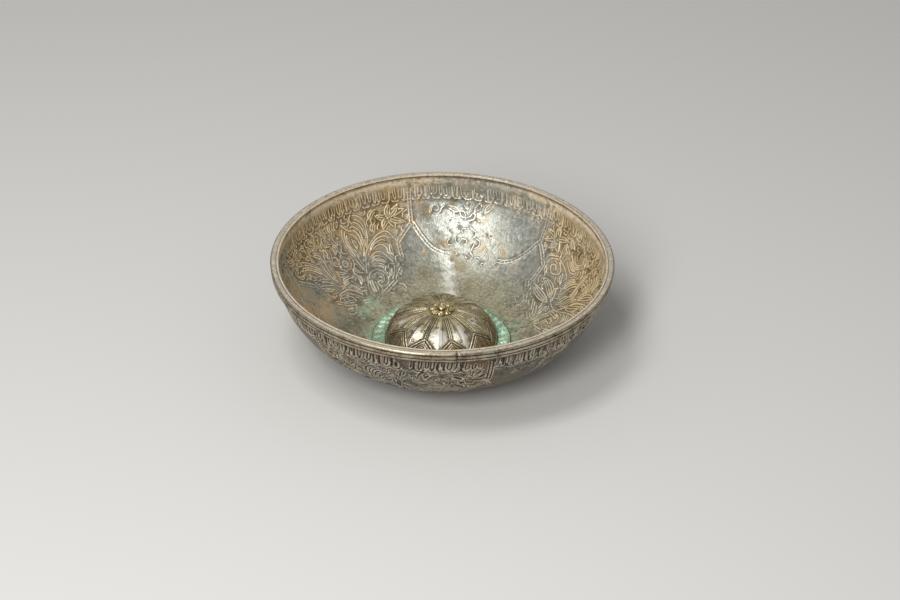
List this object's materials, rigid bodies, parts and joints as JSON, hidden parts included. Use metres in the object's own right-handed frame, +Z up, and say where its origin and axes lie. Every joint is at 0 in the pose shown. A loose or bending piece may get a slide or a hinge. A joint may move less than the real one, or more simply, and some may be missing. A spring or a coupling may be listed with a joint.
{
  "type": "metal bowl",
  "caption": "Shallow round metal drinking bowl with a reeded rim band and a hollow petalled boss inside a beaded collar on its floor.",
  "frame": {"origin": "middle of the base, on the surface that the bowl stands on", "axes": "+Z up along the bowl's axis; -Y is the side towards the camera, and +X is to its right"},
  "size_m": [0.184, 0.184, 0.0545],
  "materials": {
    "tinned_copper": "worn tin over copper, chased and toned",
    "worn_tin": "rubbed tin over copper, warm brown in the grooves",
    "olive_copper": "olive brown toned metal, silvery where it is rubbed",
    "green_copper": "verdigris crust with bright rubbed beads",
    "bright_tin": "rubbed bright"
  },
  "bodies": {
    "root": {"bowl_shell": "tinned_copper", "rim_band": "worn_tin", "boss": "olive_copper", "boss_collar": "green_copper", "boss_rosette": "bright_tin", "rosette_rivet": "bright_tin"}
  },
  "joints": []
}
